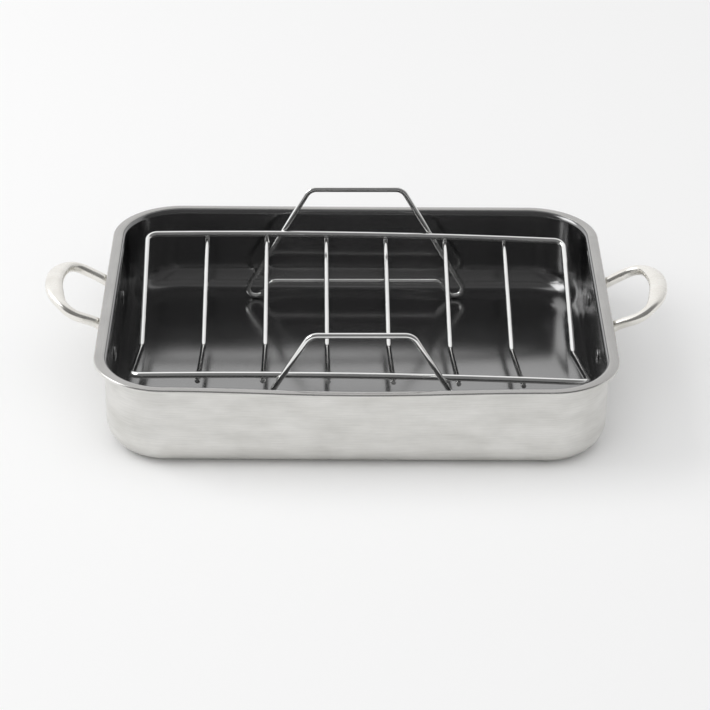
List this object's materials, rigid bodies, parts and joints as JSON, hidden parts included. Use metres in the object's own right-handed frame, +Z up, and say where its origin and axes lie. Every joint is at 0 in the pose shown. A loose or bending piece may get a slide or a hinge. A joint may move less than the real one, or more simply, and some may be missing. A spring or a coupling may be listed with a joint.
{
  "type": "roasting pan with rack",
  "caption": "Rectangular steel roasting pan with nonstick lining, bare lip and riveted loop handles, holding a loose V-shaped wire rack with lifting loops that carries a roast.",
  "frame": {"origin": "middle of the pan's flat underside, on the surface that it stands on", "axes": "+X along the pan's long side, from one loop handle to the other; +Y across the pan; +Z up"},
  "size_m": [0.4988, 0.3298, 0.1044],
  "materials": {
    "steel_brushed": "satin stainless steel, brushed along the walls",
    "coating_black": "glossy black nonstick coating",
    "steel_polished": "smooth polished cast stainless steel",
    "chrome_wire": "bright plated steel wire"
  },
  "bodies": {
    "pan": {"pan_shell": "steel_brushed", "nonstick_lining": "coating_black", "handle_right": "steel_polished", "handle_left": "steel_polished", "rivet_right_a": "coating_black", "rivet_right_b": "coating_black", "rivet_left_a": "coating_black", "rivet_left_b": "coating_black"},
    "rack": {"rack_ring": "chrome_wire", "cross_wire_1": "chrome_wire", "cross_wire_2": "chrome_wire", "cross_wire_3": "chrome_wire", "cross_wire_4": "chrome_wire", "cross_wire_5": "chrome_wire", "cross_wire_6": "chrome_wire", "rack_loop_back": "chrome_wire", "rack_loop_front": "chrome_wire"}
  },
  "joints": [
    {"name": "rack_lift", "type": "slide", "parent": "pan", "child": "rack", "axis": [0, 0, 1], "range_m": [0, 0.12]}
  ]
}
